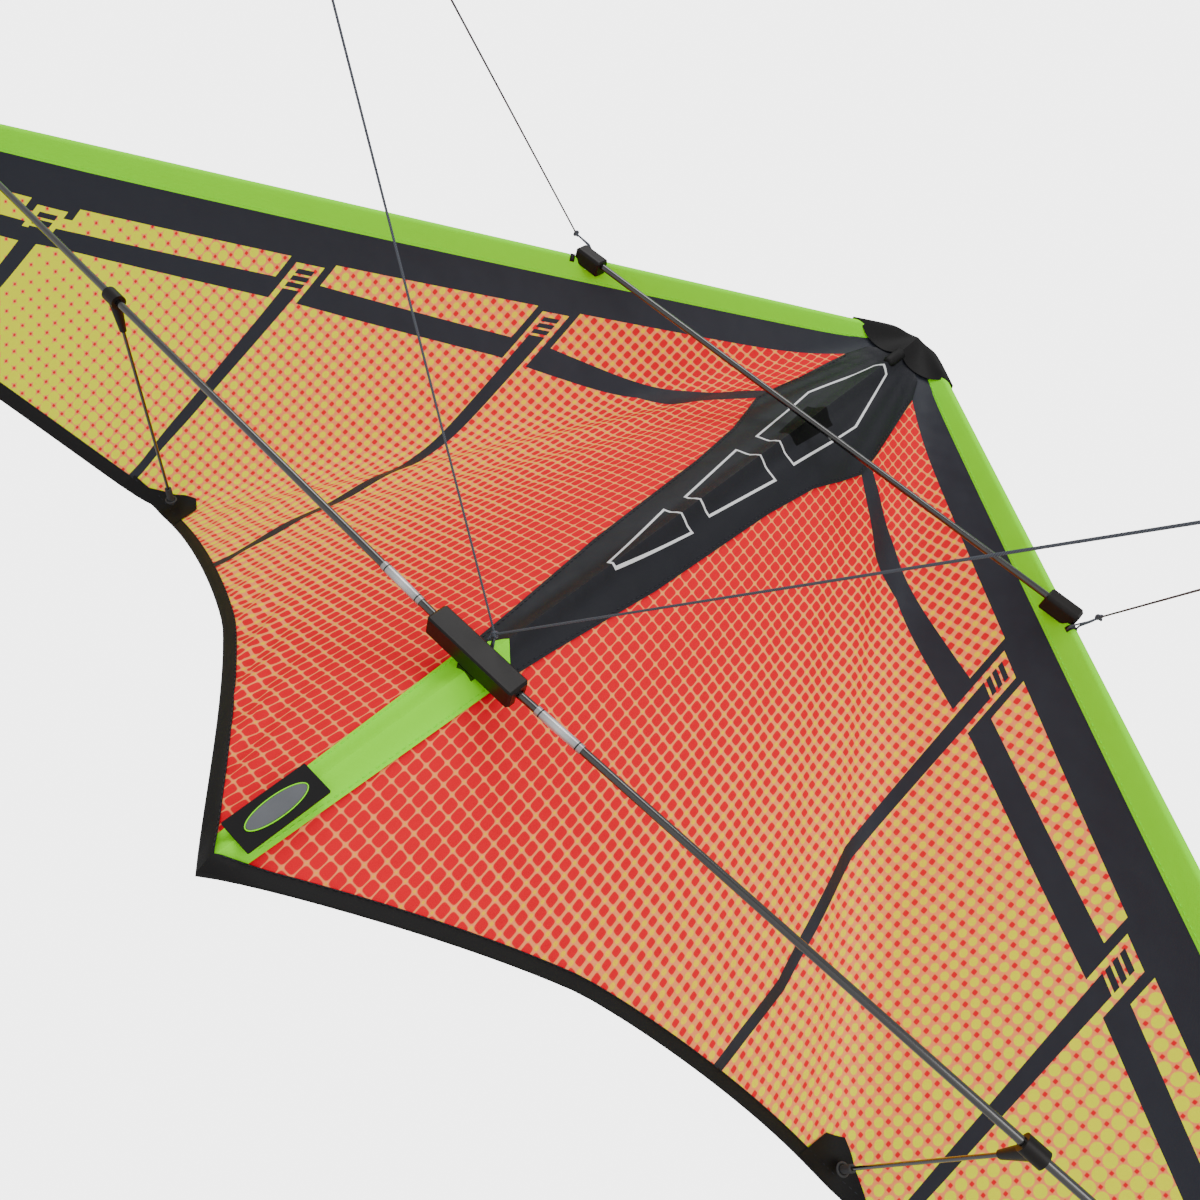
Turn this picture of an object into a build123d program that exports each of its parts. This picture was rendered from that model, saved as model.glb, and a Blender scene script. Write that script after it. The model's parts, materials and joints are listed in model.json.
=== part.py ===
from build123d import *
from math import atan2, cos, degrees, exp, hypot, log, pi, radians, sin, tan
import os

# Two-line delta kite: two sail halves on leading-edge rods, a central spine, two spreaders and a bridle.
# Millimetres. The origin is on the spine's axis at the centre fitting; +Z runs to the nose, +Y to the
# back of the sail, +X along the right wing as seen from the bridle side.

# Driving dimensions
ROD_R = 2.5  # spine, leading edges and spreaders
ROD_BORE_R = 1.6
APEX_Z = 545.0  # where the two leading-edge lines meet
HALF_ANGLE = radians(50.6)  # between the spine and a leading edge
LEADING_EDGE_Y = -2.0
TIP_X = 787.0
TAIL_Z = -180.0
NOTCH_X = 360.0  # where the stand-off holds the trailing edge back
NOTCH_Z = 10.0
TIP_LOW_Z = -150.0
SAIL_INNER_X = 8.0  # the sail halves stop short of the fold line
SAIL_OUTER_X = 776.0
SAIL_T = 0.8
SLEEVE_DEPTH = 9.0  # leading-edge axis to the sleeve's seam
BINDING = 10.0
SPINE_LOW_Z = -170.0
SPINE_HIGH_Z = 515.0
UPPER_CROSS_X = 235.0  # where a spreader's line crosses the leading edge
UPPER_SPREADER_Y = -8.0
LOWER_CROSS_X = 638.0
LOWER_INNER = Vector(8, -13, 0.27)  # the lower spreader's ends, on its axis
LOWER_OUTER = Vector(625, -7.5, 20.9)
T_HALF = 34.0
T_SIDE = 15.0
T_SLOT = 0.4  # play of the spreader in the centre fitting's slots
STANDOFF_X = 367.0
STANDOFF_END = Vector(346, 181, 19)
STANDOFF_R = 1.2
TOW_POINT = Vector(300, -383, 79)
OUTHAUL_KNOT = Vector(252, -17.5, 354.5)
BRIDLE_KNOT = Vector(0, -22.5, 13)
LINE_R = 0.7
FIT = 0.05  # play of a rod in the part that holds it

TO_TIP = Vector(sin(HALF_ANGLE), 0, -cos(HALF_ANGLE))
INWARD = Vector(-cos(HALF_ANGLE), 0, -sin(HALF_ANGLE))


def edge_z(x):
    """Height of the leading edge's axis."""
    return APEX_Z - x / tan(HALF_ANGLE)


def edge_point(x):
    return Vector(x, LEADING_EDGE_Y, edge_z(x))


def between(x, table):
    """Straight-line reading of a short table of (x, value)."""
    if x <= table[0][0]:
        return table[0][1]
    for (x0, v0), (x1, v1) in zip(table, table[1:]):
        if x <= x1:
            return v0 + (v1 - v0) * (x - x0) / (x1 - x0)
    return table[-1][1]


def sail_y(x, z):
    """Depth of the sail behind the leading edges: an inner panel that rises from the spine and an outer
    panel that rises from the leading edge, blended along the ridge between nose and stand-off."""
    inward = max((APEX_Z - z) * sin(HALF_ANGLE) - x * cos(HALF_ANGLE), 0)
    inner = 3 + 0.565 * x - 9 * (1 - exp(-x / 20))
    slope = between(x, [(0, 0.86), (230, 0.92), (388, 1.0), (540, 1.05), (650, 0.9), (790, 0.35)])
    belly = 14 * sin(pi * x / 800)
    outer = -1 + slope * inward + belly * (1 - exp(-inward / 15))
    return -8 * log(exp(-inner / 8) + exp(-outer / 8))


def patch_y(x, z):
    """A patch that lies on the front of the sail and passes in front of the spine."""
    return sail_y(x, z) - 2.4 - 5.1 * exp(-((x / 9) ** 2))


def trailing_z(x):
    """The trailing edge: a scallop from the tail to the stand-off, then a shallow curve to the tip."""
    if x < NOTCH_X:
        t = x / NOTCH_X
        flat = 7 * sin(pi * max(t - 0.45, 0) / 0.55)
        return TAIL_Z + (NOTCH_Z - TAIL_Z) * sin(pi / 2 * t) - flat
    t = (x - NOTCH_X) / (TIP_X - 9 - NOTCH_X)
    return NOTCH_Z + (TIP_LOW_Z - NOTCH_Z) * t + 7 * sin(pi * t)


def binding_z(x):
    """Inner edge of the binding along the trailing edge."""
    slope = (trailing_z(x + 1) - trailing_z(x - 1)) / 2
    return trailing_z(x) + BINDING * hypot(1, slope)


def cloth(stations, low, high, front, thickness, rows=2):
    """A thin solid that follows a surface: one thin section at each x, joined by straight lines."""
    sections = []
    for x in stations:
        heights = [low(x) + (high(x) - low(x)) * i / (rows - 1) for i in range(rows)]
        near = [Vector(x, front(x, z), z) for z in heights]
        far = [point + Vector(0, thickness, 0) for point in reversed(near)]
        sections.append(Wire.make_polygon(near + far, close=True))
    return Solid.make_loft(sections, ruled=True)


def rod(start, end, radius, bore=0.0):
    """A round rod or tube between two points."""
    run = end - start
    place = Plane(origin=start, z_dir=run)
    shape = Cylinder(radius, run.length, align=(Align.CENTER, Align.CENTER, Align.MIN))
    if bore:
        shape -= Cylinder(bore, run.length, align=(Align.CENTER, Align.CENTER, Align.MIN))
    return place * shape


def ball(centre, radius):
    return Pos(*centre) * Sphere(radius)


def edge_frame(x):
    """Local X along the leading edge to the tip, local Y inward over the sail, local Z to the back."""
    return Plane(origin=edge_point(x), x_dir=TO_TIP, z_dir=Vector(0, 1, 0))


def leading_edge_tube(x_start, x_end):
    return rod(edge_point(x_start), edge_point(x_end), ROD_R, ROD_BORE_R)


def sleeve():
    """Fabric tube around the leading edge, flattening into its seam, with a cut-out at each connector."""
    round_angles = [radians(a) for a in range(60, 301, 40)]
    sections = []
    for x in (34, 110, 230, 388, 540, 650, 769):
        seam_z = edge_z(x) - SLEEVE_DEPTH / sin(HALF_ANGLE)
        seam_y = sail_y(x, seam_z)
        ring = [(3.7 * cos(a), LEADING_EDGE_Y + 3.7 * sin(a)) for a in round_angles]
        outline = ring + [(SLEEVE_DEPTH, seam_y), (SLEEVE_DEPTH, seam_y + SAIL_T)]
        points = [Vector(x, y, edge_z(x) - inward / sin(HALF_ANGLE)) for inward, y in outline]
        sections.append(Wire.make_polygon(points, close=True))
    shape = Part() + Solid.make_loft(sections, ruled=True)
    shape -= rod(edge_point(20), edge_point(790), ROD_R + 0.1)
    for x in (UPPER_CROSS_X, LOWER_CROSS_X):
        shape -= edge_frame(x) * Pos(0, -2, 0) * Box(48, 16.4, 60)
    return shape


def connector(cross_x, axis_start, axis_end):
    """Moulded block that holds a spreader's end and snaps over the leading edge from the front."""
    block = Box(26, 14, 13)
    block = fillet(block.edges().filter_by(Axis.X), 3)
    block = chamfer(block.faces().sort_by(Axis.X)[-1].edges(), 2)
    block = chamfer(block.faces().sort_by(Axis.X)[0].edges(), 1)
    block = Pos(cross_x - 5, axis_end.Y + 2, edge_z(cross_x)) * block
    block -= edge_frame(cross_x) * Pos(0, 0, 10) * Box(70, 2 * (ROD_R + 0.1), 20 + 2 * (ROD_R + 0.1))
    block -= rod(axis_start, axis_end, ROD_R + FIT)
    return block


def spreader_point(x):
    """A point on the right lower spreader's axis."""
    t = (x - LOWER_INNER.X) / (LOWER_OUTER.X - LOWER_INNER.X)
    return LOWER_INNER + (LOWER_OUTER - LOWER_INNER) * t


def keel_patch():
    low = [(0.3, 16), (16, 16), (19, 50), (28, 140), (34, 265), (40, 320), (54, 372)]
    high = [(0.3, 497), (24, 495), (35, 483), (50, 405), (54, 380)]
    stations = (0.3, 4, 8, 16, 19, 28, 34, 40, 50, 54)
    return cloth(stations, lambda x: between(x, low), lambda x: between(x, high), patch_y, SAIL_T, 14)


def tail_patch():
    low = [(0.3, -158), (10, -158), (13, -100), (16, 0)]
    high = [(0.3, -10), (8, -10), (9, 14), (16, 14)]
    stations = (0.3, 4, 8, 9, 10, 13, 16)
    return cloth(stations, lambda x: between(x, low), lambda x: between(x, high), patch_y, SAIL_T, 5)


def nose_cover():
    """Right half of the cover over the nose: a front panel and a lip over the leading edge."""
    front_y = -8.3
    outline = [(0.3, 499), (0.3, 529), (32, 525), (52, 508), (24, 501)]
    panel = Polyline([(x, front_y, z) for x, z in outline], close=True)
    cover = extrude(make_face(panel), SAIL_T, dir=(0, 1, 0))
    lip_outline = [(10, 527.8), (32, 525), (52, 508), (52.5, 508.8), (32.4, 526), (10, 528.8)]
    lip = Polyline([(x, front_y, z) for x, z in lip_outline], close=True)
    return cover + extrude(make_face(lip), 15, dir=(0, 1, 0))


def wing_parts():
    """The pieces of the right wing."""
    seam = SLEEVE_DEPTH / sin(HALF_ANGLE)
    stations = (SAIL_INNER_X, 14, 28, 54, 85, 120, 170, 230, 290, 332, 346, NOTCH_X)
    stations += (400, 460, 540, 620, 700, SAIL_OUTER_X)
    edge_split_x = 393.0
    label_start = spreader_point(47)
    label_end = spreader_point(81)
    tow_run = (TOW_POINT - BRIDLE_KNOT).normalized()
    outhaul_run = (TOW_POINT - OUTHAUL_KNOT).normalized()
    knot_r = 1.7
    parts = {
        "leading_edge_upper": leading_edge_tube(30, edge_split_x),
        "leading_edge_lower": leading_edge_tube(edge_split_x + 0.2, TIP_X - 2),
        "leading_edge_ferrule": rod(edge_point(365), edge_point(421), ROD_BORE_R - FIT),
        "tip_cap": rod(edge_point(TIP_X - 2), edge_point(TIP_X), 3.8)
        + rod(edge_point(TIP_X - 11), edge_point(TIP_X - 2), 3.8, ROD_R + FIT),
        "leading_edge_sleeve": sleeve(),
        "sail": cloth(stations, binding_z, lambda x: edge_z(x) - seam, sail_y, SAIL_T, 22),
        "trailing_binding": cloth(
            stations, trailing_z, binding_z, lambda x, z: sail_y(x, z) - 0.2, SAIL_T + 0.4
        ),
        "lower_connector": connector(LOWER_CROSS_X, spreader_point(600), LOWER_OUTER),
        "lower_spreader": rod(LOWER_INNER, LOWER_OUTER, ROD_R, ROD_BORE_R),
        "rod_label": rod(label_start, label_end, ROD_R + 0.4, ROD_R + 0.02),
        "keel_patch": keel_patch(),
        "tail_patch": tail_patch(),
        "nose_cover": nose_cover(),
        "standoff_patch": standoff_patch(),
        "standoff_socket": standoff_socket(),
        "outhaul_knot": ball(OUTHAUL_KNOT, knot_r),
        "tow_knot": ball(TOW_POINT, 2 * knot_r),
        "bridle_inhaul": rod(BRIDLE_KNOT + tow_run * 2.3, TOW_POINT - tow_run * 2 * knot_r, LINE_R),
        "bridle_outhaul": rod(
            OUTHAUL_KNOT + outhaul_run * knot_r, TOW_POINT - outhaul_run * 2 * knot_r, LINE_R
        ),
    }
    return parts


def standoff_patch():
    """Reinforcement on the trailing edge behind the stand-off's socket."""
    return cloth(
        (332, 346, 360),
        lambda x: trailing_z(x) + 1,
        lambda x: trailing_z(x) + 24,
        lambda x, z: sail_y(x, z) - 2.0,
        SAIL_T,
        4,
    )


def standoff_frame(distance):
    """On the stand-off's axis, at a distance from the spreader; local Z runs to its outer end."""
    start = spreader_point(STANDOFF_X)
    run = STANDOFF_END - start
    return Plane(origin=start + run.normalized() * distance, x_dir=Vector(1, 0, 0), z_dir=run)


STANDOFF_LENGTH = (STANDOFF_END - spreader_point(STANDOFF_X)).length
BOOT_R = 2.6


def standoff_socket():
    """Channel around the end of the boot, open at the bottom, so the stand-off swings down out of it."""
    gap = BOOT_R + 0.5
    wall = 1.3
    length = 8
    place = standoff_frame(STANDOFF_LENGTH - length - 0.5)
    size = 2 * (gap + wall)
    block = Box(size, size, length, align=(Align.CENTER, Align.CENTER, Align.MIN))
    block -= Cylinder(gap, length, align=(Align.CENTER, Align.CENTER, Align.MIN))
    block -= Box(2 * gap, size, length, align=(Align.CENTER, Align.MIN, Align.MIN))
    return place * block


def standoff_parts():
    """The right stand-off: its clip turns on the lower spreader."""
    from_centre = (Align.CENTER, Align.CENTER, Align.MIN)
    clip_along = (LOWER_OUTER - LOWER_INNER).normalized()
    centre = spreader_point(STANDOFF_X)
    clip = rod(centre - clip_along * 6, centre + clip_along * 6, 5.2)
    clip += standoff_frame(3) * Cone(4.2, 2.3, 23, align=from_centre)
    clip -= rod(centre - clip_along * 7, centre + clip_along * 7, ROD_R + 0.08)
    clip -= standoff_frame(14) * Cylinder(STANDOFF_R + FIT, 20, align=from_centre)
    end = STANDOFF_LENGTH
    boot = standoff_frame(end - 16) * Cylinder(BOOT_R, 16, align=from_centre)
    boot -= standoff_frame(end - 17) * Cylinder(STANDOFF_R + FIT, 13, align=from_centre)
    return {
        "standoff_clip": clip,
        "standoff_rod": standoff_frame(14.1) * Cylinder(STANDOFF_R, end - 4.2 - 14.1, align=from_centre),
        "standoff_boot": boot,
    }


def centre_t():
    """Bar in front of the spine with a slot at each end for a lower spreader, open at the back."""
    bar = Pos(0, LOWER_INNER.Y, 0) * Box(2 * T_HALF, T_SIDE, T_SIDE)
    bar = chamfer(bar.edges().filter_by(Axis.X), 1)
    bar = chamfer(bar.faces().sort_by(Axis.X)[-1].edges(), 1.5)
    bar = chamfer(bar.faces().sort_by(Axis.X)[0].edges(), 1.5)
    hub_depth = 10.4
    bar += Pos(0, LOWER_INNER.Y + T_SIDE / 2 - 0.1, 0) * Box(
        12, hub_depth, T_SIDE, align=(Align.CENTER, Align.MIN, Align.CENTER)
    )
    bar -= Cylinder(ROD_R + FIT, 2 * T_SIDE)
    along = LOWER_OUTER - LOWER_INNER
    tilt = degrees(atan2(along.Z, along.X))
    half = ROD_R + T_SLOT
    slot = Pos(7.5, -ROD_R - FIT, 0) * Box(40, 20, 2 * half, align=(Align.MIN, Align.MIN, Align.CENTER))
    slot = Pos(0, LOWER_INNER.Y, 0) * Rot(0, -tilt, 0) * slot
    bar -= slot
    bar -= mirror(slot, about=Plane.YZ)
    return bar


def root_parts():
    """The pieces that stay with the spine."""
    top = Vector(0, 0, SPINE_HIGH_Z)
    low = Vector(0, 0, SPINE_LOW_Z)
    up = Vector(0, 0, 1)
    cap_r = 3.0
    return {
        "spine": rod(low, top, ROD_R, ROD_BORE_R),
        "spine_top_cap": rod(top - up * 18, top, cap_r, ROD_R + FIT) + rod(top, top + up * 3, cap_r),
        "spine_tail_cap": rod(low, low + up * 14, cap_r, ROD_R + FIT) + rod(low - up * 3, low, cap_r),
        "centre_t": centre_t(),
        "bridle_knot": ball(BRIDLE_KNOT, 1.8)
        + rod(BRIDLE_KNOT, Vector(0, -ROD_R - 0.1, BRIDLE_KNOT.Z - 1), LINE_R),
    }


def upper_spreader_parts():
    """The upper spreader with a connector on each end."""
    z = edge_z(UPPER_CROSS_X)
    end = Vector(UPPER_CROSS_X - 13, UPPER_SPREADER_Y, z)
    right = connector(UPPER_CROSS_X, Vector(190, UPPER_SPREADER_Y, z), end + Vector(0.2, 0, 0))
    start = Vector(-end.X, end.Y, end.Z)
    return {
        "upper_spreader": rod(start, end, ROD_R, ROD_BORE_R),
        "upper_connector_right": right,
        "upper_connector_left": mirror(right, about=Plane.YZ),
    }


def tail_tab_parts():
    """Hook-and-loop flap over the spine's tail, with an oval badge."""
    top_z = -109
    length = 49
    tab = Pos(0, -5.6, top_z - length / 2) * Box(21, 1.2, length)
    tab = fillet(tab.edges().filter_by(Axis.Y), 0.8)
    oval = Plane(origin=(0, -6.2, top_z - length / 2), x_dir=(1, 0, 0), z_dir=(0, -1, 0)) * Ellipse(5.3, 17.5)
    return {"tail_tab": tab, "tail_tab_badge": extrude(oval, 0.5)}


def save(name, shape):
    solids = shape.solids()
    if len(solids) != 1:
        raise ValueError(f"{name} has {len(solids)} solids")
    export_step(solids[0], f"parts/{name}.step")


os.makedirs("parts", exist_ok=True)
for name, shape in {**root_parts(), **upper_spreader_parts(), **tail_tab_parts()}.items():
    save(name, shape)
for name, shape in {**wing_parts(), **standoff_parts()}.items():
    save(f"{name}_right", shape)
    save(f"{name}_left", mirror(shape, about=Plane.YZ))

inhaul = (TOW_POINT - BRIDLE_KNOT).length
outhaul = (TOW_POINT - OUTHAUL_KNOT).length
print(f"bridle inhaul {inhaul:.0f} mm and outhaul {outhaul:.0f} mm, both straight, radius {LINE_R} mm")
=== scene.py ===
import json
from math import acos, atan2, ceil, cos, exp, hypot, log, pi, radians, sin, tan

import bpy
from mathutils import Matrix, Vector
from mathutils.geometry import delaunay_2d_cdt
from mathutils.kdtree import KDTree


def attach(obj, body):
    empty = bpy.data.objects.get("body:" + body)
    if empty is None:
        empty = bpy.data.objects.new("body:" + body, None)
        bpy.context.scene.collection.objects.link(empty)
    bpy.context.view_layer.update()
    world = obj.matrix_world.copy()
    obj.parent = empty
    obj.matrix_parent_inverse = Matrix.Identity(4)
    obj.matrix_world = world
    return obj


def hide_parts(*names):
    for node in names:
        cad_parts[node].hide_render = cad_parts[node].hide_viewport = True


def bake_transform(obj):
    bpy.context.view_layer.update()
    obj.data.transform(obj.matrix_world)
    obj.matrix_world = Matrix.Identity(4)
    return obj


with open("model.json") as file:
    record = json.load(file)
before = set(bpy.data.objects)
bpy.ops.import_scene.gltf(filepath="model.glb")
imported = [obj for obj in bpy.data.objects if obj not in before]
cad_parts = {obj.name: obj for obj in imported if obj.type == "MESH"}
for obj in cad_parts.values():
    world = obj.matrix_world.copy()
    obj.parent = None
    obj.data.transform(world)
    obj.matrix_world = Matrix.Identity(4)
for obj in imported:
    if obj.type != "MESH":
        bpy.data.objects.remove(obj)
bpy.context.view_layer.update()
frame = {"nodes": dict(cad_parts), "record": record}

# A two-line delta kite. Lengths below are millimetres, in the frame's axes; meshes are made in metres.
MM = 0.001

# Driving sizes
APEX_Z = 545.0  # where the axes of the leading edges meet
HALF_ANGLE = radians(50.6)  # between the spine and a leading edge
LEADING_EDGE_Y = -2.0
TIP_X = 787.0
TAIL_Z = -180.0
NOTCH_X = 360.0  # the highest point of the trailing edge
NOTCH_Z = 10.0
TIP_LOW_Z = -150.0  # the trailing edge at the tip
RIDGE_Z = 534  # the ridge, where the sail's inner and outer panels meet, starts here on the spine
RIDGE_SLOPE = 1.497
PANEL_ROUNDING = 8
OUTER_SLOPE = [(0, 0.86), (230, 0.92), (388, 1.0), (540, 1.05), (650, 0.9), (790, 0.35)]
RIPPLE_LENGTH = 31
SEAM_DEPTH = 9.0  # leading-edge axis to the sleeve's seam
BINDING = 8.6  # width of the tape on the trailing edge
UPPER_CROSS_X = 235.0  # where the spreaders' connectors hold the leading edge
LOWER_CROSS_X = 638.0
CONNECTOR_HALF = 13.6  # half of the cut-out that a connector needs in the sleeve
TOW_POINT = Vector((300, -383, 79))
OUTHAUL_KNOT = Vector((252, -17.5, 354.5))
BRIDLE_KNOT = Vector((0, -22.5, 13))
LINE_D = 1.4
FLOOR_Z = -900
FLOOR_HALF = 6000

# The sail's print: one cell of its lattice, and its turn on the flat cloth
PRINT_PITCH = (7.4, 9.95)
PRINT_TURN = radians(6.5)
PRINT_REACH = 0.9  # metres
PRINT_SOFTNESS = 0.035
# Sizes in cells by distance from the spine, as a share of the reach
SQUARE_SIZES = [(0.0, 0.46), (0.08, 0.45), (0.15, 0.39), (0.2, 0.33)]
SQUARE_SIZES += [(0.26, 0.27), (0.4, 0.19), (0.5, 0.14), (0.75, 0.05)]
DOT_SIZES = [(0.0, 0.03), (0.12, 0.12), (0.2, 0.22), (0.28, 0.28)]
DOT_SIZES += [(0.42, 0.34), (0.5, 0.41), (0.58, 0.5), (0.72, 0.6)]
# The band between the keel patch and the tip, as (x, z) along its two edges
INNER_BAND_HIGH = [(0, 436), (30, 412), (57, 392), (110, 366), (160, 336), (215, 304), (246, 282)]
INNER_BAND_HIGH += [(374, 188), (528, 62)]
INNER_BAND_LOW = [(0, 416), (30, 392), (55, 377), (103, 344), (137, 335), (213, 286), (242, 268)]
INNER_BAND_LOW += [(380, 167), (521, 55)]
BAR_XS = (229, 387, 542)  # the printed bars that cross the band

TO_TIP = Vector((sin(HALF_ANGLE), 0, -cos(HALF_ANGLE)))
INWARD = Vector((-cos(HALF_ANGLE), 0, -sin(HALF_ANGLE)))
SIDES = (("right", 1), ("left", -1))


def camera():
    """In front of the kite and below its middle, looking up, with the camera rolled."""
    data = bpy.data.cameras.new("camera")
    data.lens = 30
    data.sensor_width = 36
    item = bpy.data.objects.new("camera", data)
    bpy.context.collection.objects.link(item)
    right = Vector((0.7240, -0.2217, 0.6532)).normalized()
    ahead = Vector((-0.2817, 0.7693, 0.5734)).normalized()
    up = right.cross(ahead)
    turn = Matrix((right, up, -ahead)).transposed()
    item.matrix_world = Matrix.Translation((0.1892, -0.4799, -0.2613)) @ turn.to_4x4()
    bpy.context.scene.camera = item


# ---------------------------------------------------------------- surfaces


def edge_z(x):
    """Height of the leading edge's axis."""
    return APEX_Z - x / tan(HALF_ANGLE)


def edge_point(x):
    """A point on the leading edge's axis."""
    return Vector((x, LEADING_EDGE_Y, edge_z(x)))


def inward_depth(x, z):
    """Distance of a place from the leading edge's axis."""
    return (APEX_Z - z) * sin(HALF_ANGLE) - x * cos(HALF_ANGLE)


def between(x, table):
    """The value at x in a table of (x, value) pairs joined by straight lines."""
    if x <= table[0][0]:
        return table[0][1]
    for (x0, v0), (x1, v1) in zip(table, table[1:]):
        if x <= x1:
            return v0 + (v1 - v0) * (x - x0) / (x1 - x0)
    return table[-1][1]


def sail_y(x, z):
    """The taut sail: one panel leans back from the spine, one from the leading edge, with a rounded ridge."""
    inward = max(inward_depth(x, z), 0)
    inner = 3 + 0.565 * x - 9 * (1 - exp(-x / 20))
    belly = 14 * sin(pi * x / 800)
    outer = -1 + between(x, OUTER_SLOPE) * inward + belly * (1 - exp(-inward / 15))
    return -PANEL_ROUNDING * log(exp(-inner / PANEL_ROUNDING) + exp(-outer / PANEL_ROUNDING))


def smooth_step(value, low, high):
    """Rises smoothly from 0 at low to 1 at high."""
    t = min(max((value - low) / (high - low), 0), 1)
    return t * t * (3 - 2 * t)


def cloth_y(x, z):
    """The sail with its slack: waves under the ridge, ripples at the edge, and room for the spine and hub."""
    hub = 3.2 * exp(-((x / 9) ** 2) - (z / 13) ** 2)
    spine = 0.6 * exp(-((x / 4) ** 2))
    under_ridge = (RIDGE_Z - RIDGE_SLOPE * x - z) / 1.8  # square to the ridge
    from_edge = z - trailing_z(x)
    inner = smooth_step(x, 42, 110) * smooth_step(from_edge, 12, 70) * smooth_step(under_ridge, 0, 25)
    waves = 3.4 * sin(2 * pi * under_ridge / 41) * exp(-under_ridge / 70) * inner
    return sail_y(x, z) + hub + spine + waves + edge_ripples(x, from_edge)


def edge_ripples(x, from_edge):
    """Short waves that start at the binding and die out inward."""
    near_edge = smooth_step(from_edge, 9, 22) * exp(-from_edge / 32) * smooth_step(x, 16, 40)
    return 2.8 * sin(2 * pi * (x - 0.5 * from_edge) / RIPPLE_LENGTH) * near_edge


def slack_cloth_y(x, z):
    """The left half, with more slack beside the tail."""
    beside_tail = 1 - smooth_step(x, 150, 240)
    return cloth_y(x, z) + 1.5 * edge_ripples(x, z - trailing_z(x)) * beside_tail


def keel_y(x, z):
    """The keel patch: folds that run together at the nose."""
    spread = x / (560 - z)
    folds = 0.7 - 1.9 * abs(sin(pi * spread / 0.115))
    near_nose = exp(-(((z - 420) / 110) ** 2))
    return patch_y(x, z) + folds * near_nose * smooth_step(x, 5, 14)


def patch_y(x, z):
    """Cloth that is sewn on the front of the sail and passes over the spine, and wider over the hub."""
    width = 5.5 + 4 * exp(-((z / 12) ** 2))
    return sail_y(x, z) - 1.0 - 5.4 * exp(-((x / width) ** 2))


def trailing_z(x):
    """Height of the trailing edge: a curve from the tail up to the notch, and another down to the tip."""
    if x < NOTCH_X:
        t = x / NOTCH_X
        flat = 7 * sin(pi * max(t - 0.45, 0) / 0.55)
        return TAIL_Z + (NOTCH_Z - TAIL_Z) * sin(pi / 2 * t) - flat
    t = (x - NOTCH_X) / (TIP_X - 9 - NOTCH_X)
    return NOTCH_Z + (TIP_LOW_Z - NOTCH_Z) * t + 7 * sin(pi * t)


def flat_place(x, z):
    """Where a point of the sail lies on the flat cloth: the print follows this."""
    above_ridge = max(z - RIDGE_Z + RIDGE_SLOPE * x, 0)
    return ((1.149 * x - 0.106 * above_ridge) * MM, (z + 0.272 * above_ridge) * MM)


# ---------------------------------------------------------------- mesh helpers


def new_object(name, points, faces, slots=None, materials=(), places=None):
    """A mesh from points in millimetres. places gives each point's spot on the flat cloth."""
    mesh = bpy.data.meshes.new(name)
    mesh.from_pydata([Vector(p) * MM for p in points], [], faces)
    for item in materials:
        mesh.materials.append(item)
    if slots:
        mesh.polygons.foreach_set("material_index", slots)
    if places:
        layer = mesh.uv_layers.new(name="flat")
        for loop in mesh.loops:
            layer.data[loop.index].uv = places[loop.vertex_index]
    mesh.polygons.foreach_set("use_smooth", [True] * len(mesh.polygons))
    mesh.update()
    item = bpy.data.objects.new(name, mesh)
    bpy.context.collection.objects.link(item)
    return item


def mirrored(points, faces, side):
    """The same mesh for one side: the left one is mirrored and its faces are turned round."""
    if side > 0:
        return points, faces
    return [(-x, y, z) for x, y, z in points], [tuple(reversed(f)) for f in faces]


def signed_area(loop):
    """Area inside a closed outline, positive if it runs counter-clockwise."""
    return sum(a[0] * b[1] - b[0] * a[1] for a, b in zip(loop, loop[1:] + loop[:1])) / 2


def dense_loop(shape, spacing):
    """A closed outline, counter-clockwise, with extra points so that no edge is longer than the spacing."""
    if signed_area(shape) < 0:
        shape = list(reversed(shape))
    loop = []
    for (x0, z0), (x1, z1) in zip(shape, shape[1:] + shape[:1]):
        count = max(1, ceil(hypot(x1 - x0, z1 - z0) / spacing))
        loop += [(x0 + (x1 - x0) * i / count, z0 + (z1 - z0) * i / count) for i in range(count)]
    return loop


def cut_cloth(outline, layers, spacing):
    """Points, triangles and slots of an outline that is cut along printed shapes. layers holds a shape and
    a material slot each; a triangle takes the slot of the last shape that it is in, or else slot 0."""
    points = []
    loops = []
    for shape in [outline] + [shape for shape, _ in layers]:
        loop = dense_loop(shape, spacing)
        loops.append(list(range(len(points), len(points) + len(loop))))
        points += loop
    tree = KDTree(len(points))
    for i, (x, z) in enumerate(points):
        tree.insert((x, 0, z), i)
    tree.balance()
    xs = [x for x, _ in outline]
    zs = [z for _, z in outline]
    row_height = spacing * 0.866
    for row in range(ceil((max(zs) - min(zs)) / row_height)):
        z = min(zs) + row * row_height
        for column in range(ceil((max(xs) - min(xs)) / spacing) + 1):
            x = min(xs) + (column + 0.5 * (row % 2)) * spacing
            if tree.find((x, 0, z))[2] > 0.45 * spacing:
                points.append((x, z))
    found = delaunay_2d_cdt([Vector(p) for p in points], [], loops, 1, 1e-3)
    flat, triangles, sources = found[0], found[2], found[5]
    faces = []
    slots = []
    for triangle, inside in zip(triangles, sources):
        if 0 not in inside:
            continue
        a, b, c = (flat[i] for i in triangle)
        turned = (b - a).cross(c - a) < 0
        faces.append(tuple(reversed(triangle)) if turned else tuple(triangle))
        top = max(inside)
        slots.append(layers[top - 1][1] if top else 0)
    used = sorted({i for face in faces for i in face})
    place = {old: new for new, old in enumerate(used)}
    faces = [tuple(place[i] for i in face) for face in faces]
    return [tuple(flat[i]) for i in used], faces, slots


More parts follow.
